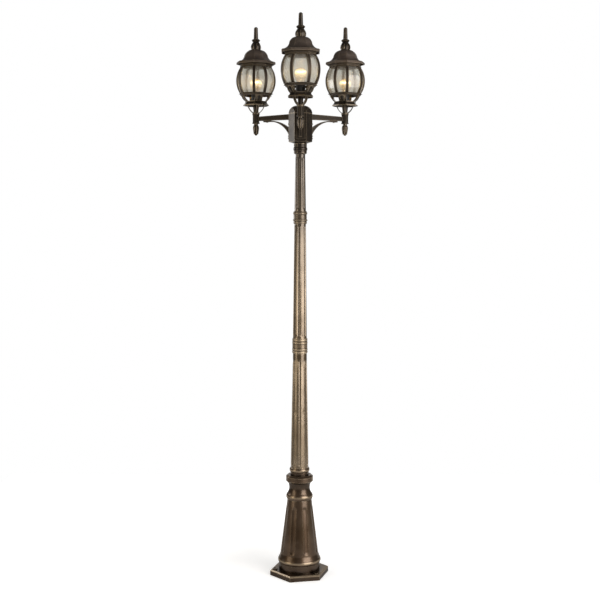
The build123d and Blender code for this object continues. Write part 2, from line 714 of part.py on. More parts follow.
# Brace: curved strip from a pad under the arm to a tall foot on the back plate
PAD_START_X = BRACE_PAD_START - ARM_REACH
PAD_END_X = BRACE_PAD_END - ARM_REACH
FOOT_TOP_POINT = (PLATE_FRONT_X, ARM_Z - BRACE_FOOT_TOP)
FOOT_BOTTOM_POINT = (PLATE_FRONT_X, ARM_Z - BRACE_FOOT_BOTTOM)
STRIP_UPPER = (PAD_START_X, PAD_UNDERSIDE + BRACE_T)
STRIP_LOWER = (PAD_START_X, PAD_UNDERSIDE)
with BuildPart() as brace:
    with BuildSketch(Plane.XZ):
        with BuildLine():
            Polyline(
                STRIP_UPPER,
                (PAD_START_X, arm_underside(PAD_START_X)),
                (PAD_END_X, arm_underside(PAD_END_X)),
                (PAD_END_X, PAD_UNDERSIDE),
                STRIP_LOWER,
            )
            bowed(STRIP_LOWER, FOOT_BOTTOM_POINT, -BRACE_SAG)
            Line(FOOT_BOTTOM_POINT, FOOT_TOP_POINT)
            bowed(FOOT_TOP_POINT, STRIP_UPPER, BRACE_SAG / 2)
        make_face()
    extrude(amount=BRACE_W / 2, both=True)
    with BuildSketch(Plane.XY.offset(PAD_UNDERSIDE)):
        with Locations((PAD_MIDDLE_X, 0)):
            Circle(BRACE_SCREW_R + BRACE_SCREW_GAP)
    extrude(amount=2 * BRACE_PAD_T, mode=Mode.SUBTRACT)
save_at_arms(brace.part, "brace")

# Screw up through the brace's pad into the arm
with BuildPart() as brace_screw:
    with BuildSketch(Plane.XY.offset(PAD_UNDERSIDE)):
        with Locations((PAD_MIDDLE_X, 0)):
            Circle(BRACE_SCREW_HEAD_R)
    extrude(amount=-BRACE_SCREW_HEAD_H)
    with BuildSketch(Plane.XY.offset(PAD_UNDERSIDE)):
        with Locations((PAD_MIDDLE_X, 0)):
            Circle(BRACE_SCREW_R)
    extrude(amount=BRACE_SCREW_L - BRACE_SCREW_GAP)
save_at_arms(brace_screw.part, "brace_screw")

# Threaded nipple that clamps acorn, barrel, straps, spacer and gallery together
with BuildPart() as nipple:
    with BuildSketch(Plane.XY.offset(BARREL_BOTTOM - ACORN_HOLE_DEPTH)):
        Circle(NIPPLE_R)
        Circle(NIPPLE_BORE_R, mode=Mode.SUBTRACT)
    extrude(amount=GALLERY_TOP + SOCKET_FLOOR - NIPPLE_GAP - BARREL_BOTTOM + ACORN_HOLE_DEPTH)
save_at_arms(nipple.part, "threaded_nipple")

# Acorn nut
NUT_SHOULDER = BARREL_BOTTOM - ACORN_NECK_H
NUT_BELLY = NUT_SHOULDER - ACORN_SHOULDER_H
NUT_TIP = NUT_SHOULDER - ACORN_H
with BuildPart() as acorn:
    with BuildSketch(Plane.XZ):
        with BuildLine():
            Line((0, BARREL_BOTTOM), (ACORN_NECK_R, BARREL_BOTTOM))
            Line((ACORN_NECK_R, BARREL_BOTTOM), (ACORN_NECK_R, NUT_SHOULDER))
            TangentArc((ACORN_R, NUT_BELLY), (ACORN_NECK_R, NUT_SHOULDER), tangent=(0, 1))
            TangentArc((ACORN_R, NUT_BELLY), (ACORN_TIP_R, NUT_TIP), tangent=(0, -1))
            Line((ACORN_TIP_R, NUT_TIP), (0, NUT_TIP))
            Line((0, NUT_TIP), (0, BARREL_BOTTOM))
        make_face()
    revolve(axis=Axis.Z)
    with BuildSketch(Plane.XY.offset(BARREL_BOTTOM)):
        Circle(NIPPLE_R + NIPPLE_GAP)
    extrude(amount=-ACORN_HOLE_DEPTH, mode=Mode.SUBTRACT)
save_at_arms(acorn.part, "acorn_nut")

# Strap cage: ring on the barrel and four bowed straps up to the gallery
STRAP_INNER_FOOT = (NIPPLE_R + STRAP_T, SPACER_Z)
STRAP_OUTER_FOOT = (NIPPLE_R + STRAP_T, BARREL_TOP)
STRAP_INNER_TOP = (STRAP_TOP_R - STRAP_T / 2, WEB_Z)
STRAP_OUTER_TOP = (STRAP_TOP_R + STRAP_T / 2, WEB_Z)
with BuildPart() as strap_cage:
    for index in range(STRAPS):
        with BuildSketch(outward(STRAP_TURN + index * 360.0 / STRAPS)):
            with BuildLine():
                bowed(STRAP_OUTER_FOOT, STRAP_OUTER_TOP, -STRAP_BOW)
                Line(STRAP_OUTER_TOP, STRAP_INNER_TOP)
                bowed(STRAP_INNER_TOP, STRAP_INNER_FOOT, STRAP_BOW)
                Line(STRAP_INNER_FOOT, STRAP_OUTER_FOOT)
            make_face()
        extrude(amount=STRAP_W / 2, both=True)
    with BuildSketch(Plane.XY.offset(BARREL_TOP)):
        Circle(STRAP_RING_R)
    extrude(amount=STRAP_RING_H)
    with BuildSketch(Plane.XY.offset(SPACER_Z)):
        Circle(SPACER_R + NIPPLE_GAP)
    extrude(amount=SPACER_L, mode=Mode.SUBTRACT)
    with BuildSketch(Plane.XY.offset(BARREL_TOP)):
        Circle(NIPPLE_R + NIPPLE_GAP)
    extrude(amount=STRAP_RING_H, mode=Mode.SUBTRACT)
save_at_arms(strap_cage.part, "strap_cage")

# Spacer tube from the strap ring to the gallery
with BuildPart() as spacer:
    with BuildSketch(Plane.XY.offset(SPACER_Z)):
        Circle(SPACER_R)
        Circle(NIPPLE_R + NIPPLE_GAP, mode=Mode.SUBTRACT)
    extrude(amount=SPACER_L)
save_at_arms(spacer.part, "spacer_tube")


def skirt_outer(spread):
    lip_x = SKIRT_BOTTOM_APOTHEM * spread
    top_x = SKIRT_TOP_APOTHEM * spread
    Polyline((0, SKIRT_Z), (lip_x, SKIRT_Z), (lip_x, SKIRT_Z + SKIRT_LIP_H))
    bowed((lip_x, SKIRT_Z + SKIRT_LIP_H), (top_x, GALLERY_TOP), SKIRT_BOW)
    Line((top_x, GALLERY_TOP), (0, GALLERY_TOP))


def skirt_inner(spread):
    lip_x = SKIRT_BOTTOM_APOTHEM * spread - SKIRT_WALL
    top_x = SKIRT_TOP_APOTHEM * spread - SKIRT_WALL
    Polyline((0, SKIRT_Z), (lip_x, SKIRT_Z), (lip_x, SKIRT_Z + SKIRT_LIP_H))
    bowed((lip_x, SKIRT_Z + SKIRT_LIP_H), (top_x, WEB_Z), SKIRT_BOW)
    Line((top_x, WEB_Z), (0, WEB_Z))


# Gallery: flared eight-sided skirt with four bowed legs, on its narrow flats, that carry the cage
LEG_FOOT_X = SKIRT_TOP_APOTHEM * NARROW_SPREAD
LEG_TOP_X = SILL_OUT_APOTHEM * NARROW_SPREAD - SILL_EASE
LEG_INNER_FOOT = (LEG_FOOT_X - LEG_T, GALLERY_TOP)
LEG_OUTER_FOOT = (LEG_FOOT_X, GALLERY_TOP)
LEG_OUTER_TOP = (LEG_TOP_X, SILL_Z)
LEG_INNER_TOP = (LEG_TOP_X - LEG_T, SILL_Z)
skirt_outside = octagon(skirt_outer)
skirt_inside = octagon(skirt_inner)
with BuildPart() as gallery:
    add(skirt_outside)
    add(skirt_inside, mode=Mode.SUBTRACT)
    for index in range(LEGS):
        with BuildSketch(outward(FLAT_TURN + index * 360.0 / LEGS)):
            with BuildLine():
                bowed(LEG_OUTER_FOOT, LEG_OUTER_TOP, -LEG_BOW)
                Line(LEG_OUTER_TOP, LEG_INNER_TOP)
                bowed(LEG_INNER_TOP, LEG_INNER_FOOT, LEG_BOW)
                Line(LEG_INNER_FOOT, LEG_OUTER_FOOT)
            make_face()
        extrude(amount=LEG_W / 2, both=True)
    with BuildSketch(Plane.XY.offset(WEB_Z)):
        Circle(NIPPLE_R + NIPPLE_GAP)
    extrude(amount=SKIRT_WEB, mode=Mode.SUBTRACT)
save_at_arms(gallery.part, "gallery")


def glass_line(inset):
    """Bellied arc from sill to frieze at the lantern's corners, moved inward by inset."""
    return ThreePointArc(
        (GLASS_BOTTOM_CORNER_R - inset, GLASS_Z),
        (GLASS_BELLY_CORNER_R - inset, GLASS_Z + GLASS_BELLY_SHARE * GLASS_H),
        (GLASS_TOP_CORNER_R - inset, FRIEZE_Z),
    )


def sill_half(spread):
    face = SILL_OUT_APOTHEM * spread
    Polyline(
        (0, SILL_Z),
        (face - SILL_EASE, SILL_Z),
        (face, SILL_Z + SILL_EASE),
        (face, GLASS_Z - SILL_EASE),
        (face - SILL_EASE / 2, GLASS_Z),
        (0, GLASS_Z),
    )


def frieze_half(spread):
    face = FRIEZE_OUT_APOTHEM * spread
    band_top = FRIEZE_Z + FRIEZE_BAND_H
    groove_top = band_top + FRIEZE_GROOVE_H
    upper_top = groove_top + FRIEZE_BAND_H
    Polyline(
        (0, FRIEZE_Z),
        (face - FRIEZE_TOP_STEP, FRIEZE_Z),
        (face, FRIEZE_Z + FRIEZE_TOP_STEP),
        (face, band_top),
        (face - FRIEZE_GROOVE_DEEP, band_top),
        (face - FRIEZE_GROOVE_DEEP, groove_top),
        (face, groove_top),
        (face, upper_top),
        (face - FRIEZE_TOP_STEP, upper_top + FRIEZE_TOP_STEP),
        (face - FRIEZE_TOP_STEP, ROOF_Z),
        (0, ROOF_Z),
    )


# Cage: sill ring, eight bellied ribs with leaf tips, and moulded frieze ring
sill = octagon(sill_half)
frieze = octagon(frieze_half)
sill_opening = octagon_block(SILL_IN_APOTHEM, SILL_Z, GLASS_Z)
frieze_opening = octagon_block(FRIEZE_IN_APOTHEM, FRIEZE_Z, ROOF_Z)
RIB_FACE = RIB_INSET - RIB_T
SILL_CORNER_R = SILL_OUT_APOTHEM / WIDE_SHARE
with BuildPart() as cage:
    add(sill)
    add(sill_opening, mode=Mode.SUBTRACT)
    add(frieze)
    add(frieze_opening, mode=Mode.SUBTRACT)
    for rib_turn in RIB_TURNS:
        with BuildSketch(outward(rib_turn)):
            with BuildLine():
                inner = glass_line(RIB_INSET)
                outer = glass_line(RIB_FACE)
                Polyline(
                    inner @ 0,
                    (GLASS_BOTTOM_CORNER_R - RIB_INSET, GLASS_Z - RIB_ROOT),
                    (GLASS_BOTTOM_CORNER_R - RIB_FACE, GLASS_Z - RIB_ROOT),
                    outer @ 0,
                )
                Polyline(
                    inner @ 1,
                    (GLASS_TOP_CORNER_R - RIB_INSET, FRIEZE_Z + RIB_ROOT),
                    (GLASS_TOP_CORNER_R - RIB_FACE, FRIEZE_Z + RIB_ROOT),
                    outer @ 1,
                )
            make_face()
        extrude(amount=RIB_W / 2, both=True)
        with BuildSketch(outward(rib_turn)):
            with BuildLine():
                Polyline(
                    (SILL_CORNER_R - SILL_TIP_OUT, SILL_Z + SILL_EASE),
                    (SILL_CORNER_R + SILL_TIP_OUT, GLASS_Z - SILL_EASE),
                    (SILL_CORNER_R - SILL_TIP_OUT, GLASS_Z),
                    close=True,
                )
            make_face()
        extrude(amount=RIB_W / 2, both=True)
save_at_arms(cage.part, "cage")

# Panes: bent glass, flat across, each tucked behind its two ribs and standing on the sill
PANE_WEDGE_R = 2 * GLASS_BELLY_CORNER_R


def bent_pane(share, half_turn):
    """Pane on a flat whose apothem is this share of the corner radius; half_turn reaches its ribs."""
    with BuildPart() as pane:
        with BuildSketch(Plane.XZ):
            with BuildLine():
                outer_face = ThreePointArc(
                    (GLASS_BOTTOM_CORNER_R * share, GLASS_Z),
                    (GLASS_BELLY_CORNER_R * share, GLASS_Z + GLASS_BELLY_SHARE * GLASS_H),
                    (GLASS_TOP_CORNER_R * share, FRIEZE_Z - GLASS_TOP_GAP),
                )
                inner_face = ThreePointArc(
                    (GLASS_BOTTOM_CORNER_R * share - GLASS_T, GLASS_Z),
                    (GLASS_BELLY_CORNER_R * share - GLASS_T, GLASS_Z + GLASS_BELLY_SHARE * GLASS_H),
                    (GLASS_TOP_CORNER_R * share - GLASS_T, FRIEZE_Z - GLASS_TOP_GAP),
                )
                Line(outer_face @ 0, inner_face @ 0)
                Line(outer_face @ 1, inner_face @ 1)
            make_face()
        extrude(amount=PANE_WEDGE_R, both=True)
        with BuildSketch(Plane.XY.offset(GLASS_Z)):
            with BuildLine():
                edge_turn = radians(half_turn)
                apex = Vector(GLASS_TUCK / sin(edge_turn), 0)
                run = Vector(cos(edge_turn), sin(edge_turn)) * PANE_WEDGE_R
                Polyline(apex, apex + run, apex + Vector(run.X, -run.Y), close=True)
            make_face()
        extrude(amount=GLASS_H, mode=Mode.INTERSECT)
    return pane.part


wide_pane = bent_pane(WIDE_SHARE, WIDE_HALF_TURN)
narrow_pane = bent_pane(NARROW_SHARE, NARROW_HALF_TURN)
with BuildPart() as panes:
    with PolarLocations(0, FLATS // 2):
        add(wide_pane)
    with PolarLocations(0, FLATS // 2, start_angle=FLAT_TURN):
        add(narrow_pane)
save_at_arms(panes.part, "glass_panes")


def roof_outer(spread):
    lip_x = ROOF_LIP_APOTHEM * spread
    lip_top = LIP_Z + ROOF_LIP_H
    brim = (lip_x - ROOF_LIP_ROUND, lip_top + ROOF_LIP_ROUND)
    sweep_end = (ROOF_SWEEP_APOTHEM * spread, ROOF_Z + ROOF_SWEEP_H)
    top_edge = (ROOF_TOP_APOTHEM * spread, FINIAL_Z)
    Polyline((0, LIP_Z), (lip_x, LIP_Z), (lip_x, lip_top), brim)
    bowed(brim, sweep_end, ROOF_SWEEP_BOW)
    bowed(sweep_end, top_edge, -ROOF_DOME_BOW)
    Line(top_edge, (0, FINIAL_Z))


def roof_inner(spread):
    Polyline(
        (0, ROOF_Z),
        (ROOF_SEAT_APOTHEM * spread, ROOF_Z),
        (ROOF_SWEEP_APOTHEM * spread - 2 * ROOF_WALL, ROOF_Z + ROOF_SWEEP_H - ROOF_WALL),
        (ROOF_TOP_APOTHEM * spread - ROOF_WALL, FINIAL_Z - 2 * ROOF_WALL),
        (0, FINIAL_Z - 2 * ROOF_WALL),
    )


# Roof: eight-sided bell with a drip lip, hollow, with a tapped hole for the finial
roof_outside = octagon(roof_outer)
roof_inside = octagon(roof_inner)
lip_inside = octagon_block(ROOF_LIP_APOTHEM - ROOF_LIP_T, LIP_Z, ROOF_Z)
with BuildPart() as roof:
    add(roof_outside)
    add(lip_inside, mode=Mode.SUBTRACT)
    add(roof_inside, mode=Mode.SUBTRACT)
    with BuildSketch(Plane.XY.offset(FINIAL_Z)):
        Circle(FINIAL_STUD_R + FINIAL_STUD_CLEARANCE)
    extrude(amount=-ROOF_H / 2, mode=Mode.SUBTRACT)
save_at_arms(roof.part, "roof")

# Finial: vase, cup and spire on a threaded stud
KNOB_TOP = FINIAL_Z + FINIAL_KNOB_H
CUP_TOP = KNOB_TOP + FINIAL_CUP_H
SPIRE_TOP = FINIAL_Z + FINIAL_H - FINIAL_TIP_H
with BuildPart() as finial:
    with BuildSketch(Plane.XZ):
        with BuildLine():
            Line((0, FINIAL_Z), (FINIAL_FOOT_R, FINIAL_Z))
            ThreePointArc(
                (FINIAL_FOOT_R, FINIAL_Z),
                (FINIAL_KNOB_R, FINIAL_Z + FINIAL_KNOB_H / 3),
                (FINIAL_NECK_R, KNOB_TOP),
            )
            Line((FINIAL_NECK_R, KNOB_TOP), (FINIAL_CUP_R, KNOB_TOP + FINIAL_CUP_H / 2))
            bowed(
                (FINIAL_CUP_R, KNOB_TOP + FINIAL_CUP_H / 2),
                (FINIAL_SPIRE_R, CUP_TOP),
                -FINIAL_CUP_H / 8,
            )
            Line((FINIAL_SPIRE_R, CUP_TOP), (FINIAL_SPIRE_TOP_R, SPIRE_TOP))
            TangentArc((0, FINIAL_Z + FINIAL_H), (FINIAL_SPIRE_TOP_R, SPIRE_TOP), tangent=(1, 0))
            Line((0, FINIAL_Z + FINIAL_H), (0, FINIAL_Z))
        make_face()
    revolve(axis=Axis.Z)
    with BuildSketch(Plane.XY.offset(FINIAL_Z)):
        Circle(FINIAL_STUD_R)
    extrude(amount=-FINIAL_STUD_L)
save_at_arms(finial.part, "finial")

# Lamp holder on the gallery, over the nipple's end
with BuildPart() as socket:
    with BuildSketch(Plane.XY.offset(GALLERY_TOP)):
        Circle(SOCKET_R)
    extrude(amount=SOCKET_H)
    with BuildSketch(Plane.XY.offset(CAP_Z)):
        Circle(CAP_R + CAP_CLEARANCE)
    extrude(amount=SOCKET_H - SOCKET_FLOOR, mode=Mode.SUBTRACT)
    with BuildSketch(Plane.XY.offset(GALLERY_TOP)):
        Circle(NIPPLE_R + NIPPLE_GAP)
    extrude(amount=SOCKET_FLOOR, mode=Mode.SUBTRACT)
save_at_arms(socket.part, "lamp_socket")

# Lamp: screw cap and blown glass envelope
with BuildPart() as bulb_cap:
    with BuildSketch(Plane.XY.offset(CAP_Z)):
        Circle(CAP_R)
    extrude(amount=CAP_H)
save_at_arms(bulb_cap.part, "bulb_cap")

BULB_BELLY_Z = BULB_Z + BULB_H - BULB_R
with BuildPart() as bulb_glass:
    for inset, mode in ((0.0, Mode.ADD), (BULB_WALL, Mode.SUBTRACT)):
        with BuildSketch(Plane.XZ):
            with BuildLine():
                Line((0, BULB_Z + inset), (BULB_NECK_R - inset, BULB_Z + inset))
                Spline(
                    (BULB_NECK_R - inset, BULB_Z + inset),
                    (BULB_R - inset, BULB_BELLY_Z),
                    tangents=((0, 1), (0, 1)),
                )
                TangentArc((0, BULB_Z + BULB_H - inset), (BULB_R - inset, BULB_BELLY_Z), tangent=(1, 0))
                Line((0, BULB_Z + BULB_H - inset), (0, BULB_Z + inset))
            make_face()
        revolve(axis=Axis.Z, mode=mode)
save_at_arms(bulb_glass.part, "bulb_glass")
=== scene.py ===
from math import atan2, cos, pi, radians, sin, tan

import bmesh
import bpy
from mathutils import Matrix, Vector


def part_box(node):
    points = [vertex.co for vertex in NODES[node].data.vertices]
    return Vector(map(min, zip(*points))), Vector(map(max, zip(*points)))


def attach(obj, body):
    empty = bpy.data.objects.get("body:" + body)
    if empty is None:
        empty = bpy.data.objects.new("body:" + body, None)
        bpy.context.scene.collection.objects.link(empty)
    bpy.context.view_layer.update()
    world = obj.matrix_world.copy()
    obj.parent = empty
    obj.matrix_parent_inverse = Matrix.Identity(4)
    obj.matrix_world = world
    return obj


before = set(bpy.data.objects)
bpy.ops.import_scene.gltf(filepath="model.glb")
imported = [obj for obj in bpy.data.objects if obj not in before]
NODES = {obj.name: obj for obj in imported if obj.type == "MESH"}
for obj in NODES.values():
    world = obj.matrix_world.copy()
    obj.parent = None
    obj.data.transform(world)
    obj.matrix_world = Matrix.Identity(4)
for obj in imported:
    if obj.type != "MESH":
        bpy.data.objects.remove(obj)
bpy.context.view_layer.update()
ARMS = (1, 2, 3)
WHITE = (1.0, 1.0, 1.0)

# Finish colours, linear: each casting's middle and dark tones, and the tones rubbed through them.
# The rubbed gold also paints highlights on bead and ring crests, and the groove, upper and hollow
# shade tones are painted shade
GOLD_RUB_AND_HIGHLIGHT = (0.58, 0.46, 0.31)
SHAFT_MID = (0.265, 0.203, 0.136)
SHAFT_DARK = (0.135, 0.094, 0.052)
RING_GROOVE_SHADE = (0.040, 0.027, 0.015)
BRONZE_MID = (0.092, 0.055, 0.029)
BRONZE_DARK = (0.052, 0.031, 0.015)
BASE_MID = (0.140, 0.094, 0.062)
BASE_DARK = (0.060, 0.034, 0.016)
HUB_MID = (0.052, 0.040, 0.029)
HUB_DARK = (0.022, 0.017, 0.013)
HUB_RUB = (0.105, 0.078, 0.048)
ARM_MID = (0.022, 0.017, 0.012)
ROOF_MID = (0.094, 0.073, 0.061)
ROOF_DARK = (0.052, 0.040, 0.033)
CAGE_MID = (0.050, 0.039, 0.030)
CAGE_DARK = (0.026, 0.020, 0.015)
UPPER_SHADE = (0.050, 0.042, 0.034)
HOLLOW_SHADE = (0.018, 0.010, 0.005)
RIM_TINT = (0.45, 0.42, 0.38)

# Tones by height, as (metres above the ground, share of the tone): painted shade on the plate's
# sides, the foot, the waist and the upper post, rubbed gold along the plate's rim
PLATE_STOPS = ((0.0, 0.65), (0.0140, 0.6), (0.0185, 0.0))
RIM_STOPS = ((0.0165, 0.0), (0.0200, 0.5), (0.0234, 0.5), (0.0239, 0.0))
FOOT_STOPS = ((0.0245, 0.0), (0.027, 0.55), (0.052, 0.40), (0.056, 0.0))
WAIST_STOPS = ((0.348, 0.0), (0.376, 0.5), (0.396, 0.6), (0.408, 0.0))
UPPER_STOPS = ((1.15, 0.0), (1.48, 0.5), (1.80, 0.85))

# Crests of the base's beads, rubbed gold laid on as painted highlights, in metres
BEAD_HEIGHTS = (0.067, 0.341, 0.4525)
BEAD_HALF = 0.006
BEAD_HIGHLIGHT = 0.55

# Collar, strength of its rings, then its grooves and crests as shares of its height; the grooves
# get painted shade and the crests painted highlights
COLLAR_RINGS = (
    ("lower_collar", 0.7, (0.18, 0.345, 0.625, 0.79), (0.10, 0.26, 0.70, 0.88)),
    ("upper_collar", 0.35, (0.20, 0.40, 0.69, 0.95), (0.12, 0.30, 0.82)),
)
RING_HALF = 0.0032

# Build-up of the rubbed finish and of the painted shade in hollows; stops are (input, output),
# lengths are in metres
EDGE_RADIUS = 0.006
EDGE_STOPS = ((0.82, 1.0), (0.985, 0.0))
HOLLOW_REACH = 0.014
HOLLOW_STOPS = ((0.58, 1.0), (0.96, 0.0))
HOLLOW_SHARE = 0.35
PROBE_SAMPLES = 6
FINISH_DETAIL = 5.0
PATCH_DARK_AT = 0.36
PATCH_MID_AT = 0.64
STREAK_SCALE = 30.0
STREAK_STOPS = ((0.50, 0.0), (0.76, 0.5))
ROUGH_AT = 0.3
SMOOTH_AT = 0.7
ROUGH_MORE = 0.1
LACQUER_ROUGHNESS = 0.16
SKIN_SCALE = 420.0
SKIN_DETAIL = 3.0
SKIN_BUMP = 0.16
SKIN_DEEP = 0.0005

# Pane glass, with a painted glow of the lamp's light
PANE_SEED_SCALE = 95.0
PANE_RIPPLE_SCALE = 60.0
PANE_RIPPLE_STRETCH = (1, 1, 0.15)
PANE_RIPPLE_DETAIL = 2.0
PANE_RIPPLE_SHARE = 0.75
PANE_ROUGHNESS = ((0.36, 0.06), (0.64, 0.20))
PANE_TINT_SCALE = 11.0
PANE_TINTS = ((0.3, (0.49, 0.51, 0.49)), (0.7, (0.61, 0.605, 0.585)))
PANE_PAINTED_GLOW_STOPS = ((0.0, 0.3), (0.38, 1.0), (0.65, 0.45), (1.0, 0.2))
PANE_PAINTED_GLOW_COLOUR = (1.0, 0.66, 0.30)
PANE_PAINTED_GLOW = 0.08
PANE_BUMP = 0.06
PANE_BUMP_DEEP = 0.002

# Lit lamps; heights are shares of the bulb's height
FILAMENT_UP = 0.76
LAMP_AMBER = (1.0, 0.52, 0.14)
LAMP_PALE = (1.0, 0.78, 0.38)
BULB_COLOURS = ((0.30, LAMP_AMBER), (FILAMENT_UP, LAMP_PALE), (1.0, LAMP_AMBER))
BULB_GLOW_STOPS = ((0.40, 0.05), (0.62, 0.20), (FILAMENT_UP, 1.0), (0.88, 0.26), (1.0, 0.10))
BULB_GLOW = 1.3
BULB_TINT_SCALE = 20.0
BULB_TINTS = ((0.3, (0.97, 0.93, 0.85)), (0.7, (1.0, 0.98, 0.94)))
FILAMENT_GLOW = 18.0
FILAMENT_SCALE = 300.0
FILAMENT_COLOURS = ((0.3, LAMP_AMBER), (0.7, LAMP_PALE))

# Screws, lamp caps and lamp holders
STEEL_DARK = (0.16, 0.14, 0.12)
STEEL_LIGHT = (0.26, 0.23, 0.20)
BRASS_DARK = (0.55, 0.40, 0.18)
BRASS_LIGHT = (0.70, 0.53, 0.27)
METAL_SCALE = 60.0
METAL_DARK_AT = 0.35
METAL_LIGHT_AT = 0.65
METAL_SKIN_SCALE = 600.0
METAL_SKIN_DETAIL = 2.0
METAL_BUMP = 0.15
HOLDER_SPECKLE_SCALE = 80.0
HOLDER_SPECKLE = ((0.4, (0.014, 0.013, 0.012)), (0.6, (0.028, 0.026, 0.024)))
HOLDER_ROUGH_SCALE = 40.0
HOLDER_ROUGHNESS = ((0.4, 0.45), (0.6, 0.6))
HOLDER_SKIN_SCALE = 300.0
HOLDER_BUMP = 0.12
FINE_SKIN_DEEP = 0.0004

# Places of a colour Mix node's sockets
MIX_SHARE, MIX_FIRST, MIX_SECOND = 0, 6, 7
MIX_RESULT = 2


class Nodes:
    """A new material's node tree, with short calls for the nodes that are used here."""

    def __init__(self, name):
        self.material = bpy.data.materials.new(name)
        self.material.use_nodes = True
        self.tree = self.material.node_tree
        self.shader = self.tree.nodes["Principled BSDF"]

    def add(self, kind, **settings):
        node = self.tree.nodes.new(kind)
        for key, value in settings.items():
            setattr(node, key, value)
        return node

    def link(self, source, target):
        self.tree.links.new(source, target)

    def feed(self, source, name):
        """Link an output to one of the shader's own inputs."""
        self.link(source, self.shader.inputs[name])

    def set(self, **values):
        """Set the shader's own inputs, with _ for the spaces in their names."""
        for key, value in values.items():
            self.shader.inputs[key.replace("_", " ")].default_value = value

    def place(self):
        return self.add("ShaderNodeTexCoord").outputs["Object"]

    def noise(self, scale, detail=6.0, roughness=0.55, stretch=(1, 1, 1)):
        mapping = self.add("ShaderNodeMapping")
        mapping.inputs["Scale"].default_value = stretch
        noise = self.add("ShaderNodeTexNoise")
        noise.inputs["Scale"].default_value = scale
        noise.inputs["Detail"].default_value = detail
        noise.inputs["Roughness"].default_value = roughness
        self.link(self.place(), mapping.inputs["Vector"])
        self.link(mapping.outputs["Vector"], noise.inputs["Vector"])
        return noise.outputs["Fac"]

    def height_share(self, low, high):
        """0 at a low height and 1 at a high one."""
        split = self.add("ShaderNodeSeparateXYZ")
        share = self.add("ShaderNodeMapRange")
        share.inputs["From Min"].default_value = low
        share.inputs["From Max"].default_value = high
        self.link(self.place(), split.inputs["Vector"])
        self.link(split.outputs["Z"], share.inputs["Value"])
        return share.outputs["Result"]

    def ramp(self, source, stops):
        """Colours by a number, from (number, colour) stops in rising order."""
        ramp = self.add("ShaderNodeValToRGB")
        elements = ramp.color_ramp.elements
        while len(elements) < len(stops):
            elements.new(0.5)
        for element, (place, colour) in zip(elements, stops):
            element.position = place
            element.color = (*colour, 1.0)
        self.link(source, ramp.inputs["Fac"])
        return ramp.outputs["Color"]

    def grey(self, source, stops):
        """Numbers by a number, from (number, number) stops in rising order."""
        return self.ramp(source, [(place, (value, value, value)) for place, value in stops])

    def mix(self, share, first, second, blend="MIX"):
        """A mix of two colours; each argument is an output or a plain value."""
        mix = self.add("ShaderNodeMix", data_type="RGBA", blend_type=blend)
        for index, value in ((MIX_SHARE, share), (MIX_FIRST, first), (MIX_SECOND, second)):
            socket = mix.inputs[index]
            if isinstance(value, bpy.types.NodeSocket):
                self.link(value, socket)
            elif isinstance(value, tuple):
                socket.default_value = (*value, 1.0)
            else:
                socket.default_value = value
        return mix.outputs[MIX_RESULT]

    def edges(self):
        """A mask that is bright on sharp edges, where a rubbed finish wears."""
        bevel = self.add("ShaderNodeBevel", samples=PROBE_SAMPLES)
        bevel.inputs["Radius"].default_value = EDGE_RADIUS
        geometry = self.add("ShaderNodeNewGeometry")
        dot = self.add("ShaderNodeVectorMath", operation="DOT_PRODUCT")
        self.link(bevel.outputs["Normal"], dot.inputs[0])
        self.link(geometry.outputs["Normal"], dot.inputs[1])
        return self.grey(dot.outputs["Value"], EDGE_STOPS)

    def occlusion_shade(self):
        """A mask that is bright in grooves and corners, found by ambient occlusion: painted shade
        there, together with the dark finish that stays in them.
        """
        shade = self.add("ShaderNodeAmbientOcclusion", samples=PROBE_SAMPLES, only_local=True)
        shade.inputs["Distance"].default_value = HOLLOW_REACH
        return self.grey(shade.outputs["AO"], HOLLOW_STOPS)

    def bump(self, height, strength, distance):
        bump = self.add("ShaderNodeBump")
        bump.inputs["Strength"].default_value = strength
        bump.inputs["Distance"].default_value = distance
        self.link(height, bump.inputs["Height"])
        self.feed(bump.outputs["Normal"], "Normal")


def rubbed_bronze(name, mid, dark, rub, streak, patch, wear, metal, gloss, rough=0.24, tones=()):
    """Cast metal under a hand-rubbed finish: upright streaks, dark grooves, worn edges, fine skin.

    The dark grooves are painted shade where ambient occlusion finds hollows, with the dark finish
    left in them. The patches go from dark to mid, and rub shows through in streaks. streak
    squeezes the streaks' pattern in height, patch is the patches' scale and wear the strength of
    the worn edges.
    metal, gloss and rough are the metallic share, the clear coat and the least roughness. tones
    are (height stops, colour) pairs of painted shade and painted highlights, laid over the rest in
    turn.
    """
    m = Nodes(name)
    patches = m.noise(patch, FINISH_DETAIL)
    streaks = m.noise(STREAK_SCALE, FINISH_DETAIL, stretch=(1, 1, streak))
    base = m.ramp(patches, ((PATCH_DARK_AT, dark), (PATCH_MID_AT, mid)))
    rubbed = m.mix(m.grey(streaks, STREAK_STOPS), base, rub)
    worn = m.mix(m.edges(), rubbed, m.mix(wear, rubbed, GOLD_RUB_AND_HIGHLIGHT))
    # Painted shade: grooves and corners found by ambient occlusion take a share of the dark tone
    left = tuple(HOLLOW_SHARE * part for part in dark)
    colour = m.mix(m.occlusion_shade(), worn, left)
    # Height bands of painted shade and painted highlights, laid over in turn
    for stops, tone in tones:
        low, high = stops[0][0], stops[-1][0]
        shares = [((height - low) / (high - low), value) for height, value in stops]
        colour = m.mix(m.grey(m.height_share(low, high), shares), colour, tone)
    m.feed(colour, "Base Color")
    m.feed(m.grey(patches, ((ROUGH_AT, rough + ROUGH_MORE), (SMOOTH_AT, rough))), "Roughness")
    m.set(
        Metallic=metal,
        Specular_Tint=(*RIM_TINT, 1.0),
        Coat_Weight=gloss,
        Coat_Roughness=LACQUER_ROUGHNESS,
    )
    m.bump(m.noise(SKIN_SCALE, SKIN_DETAIL), SKIN_BUMP, SKIN_DEEP)
    return m.material


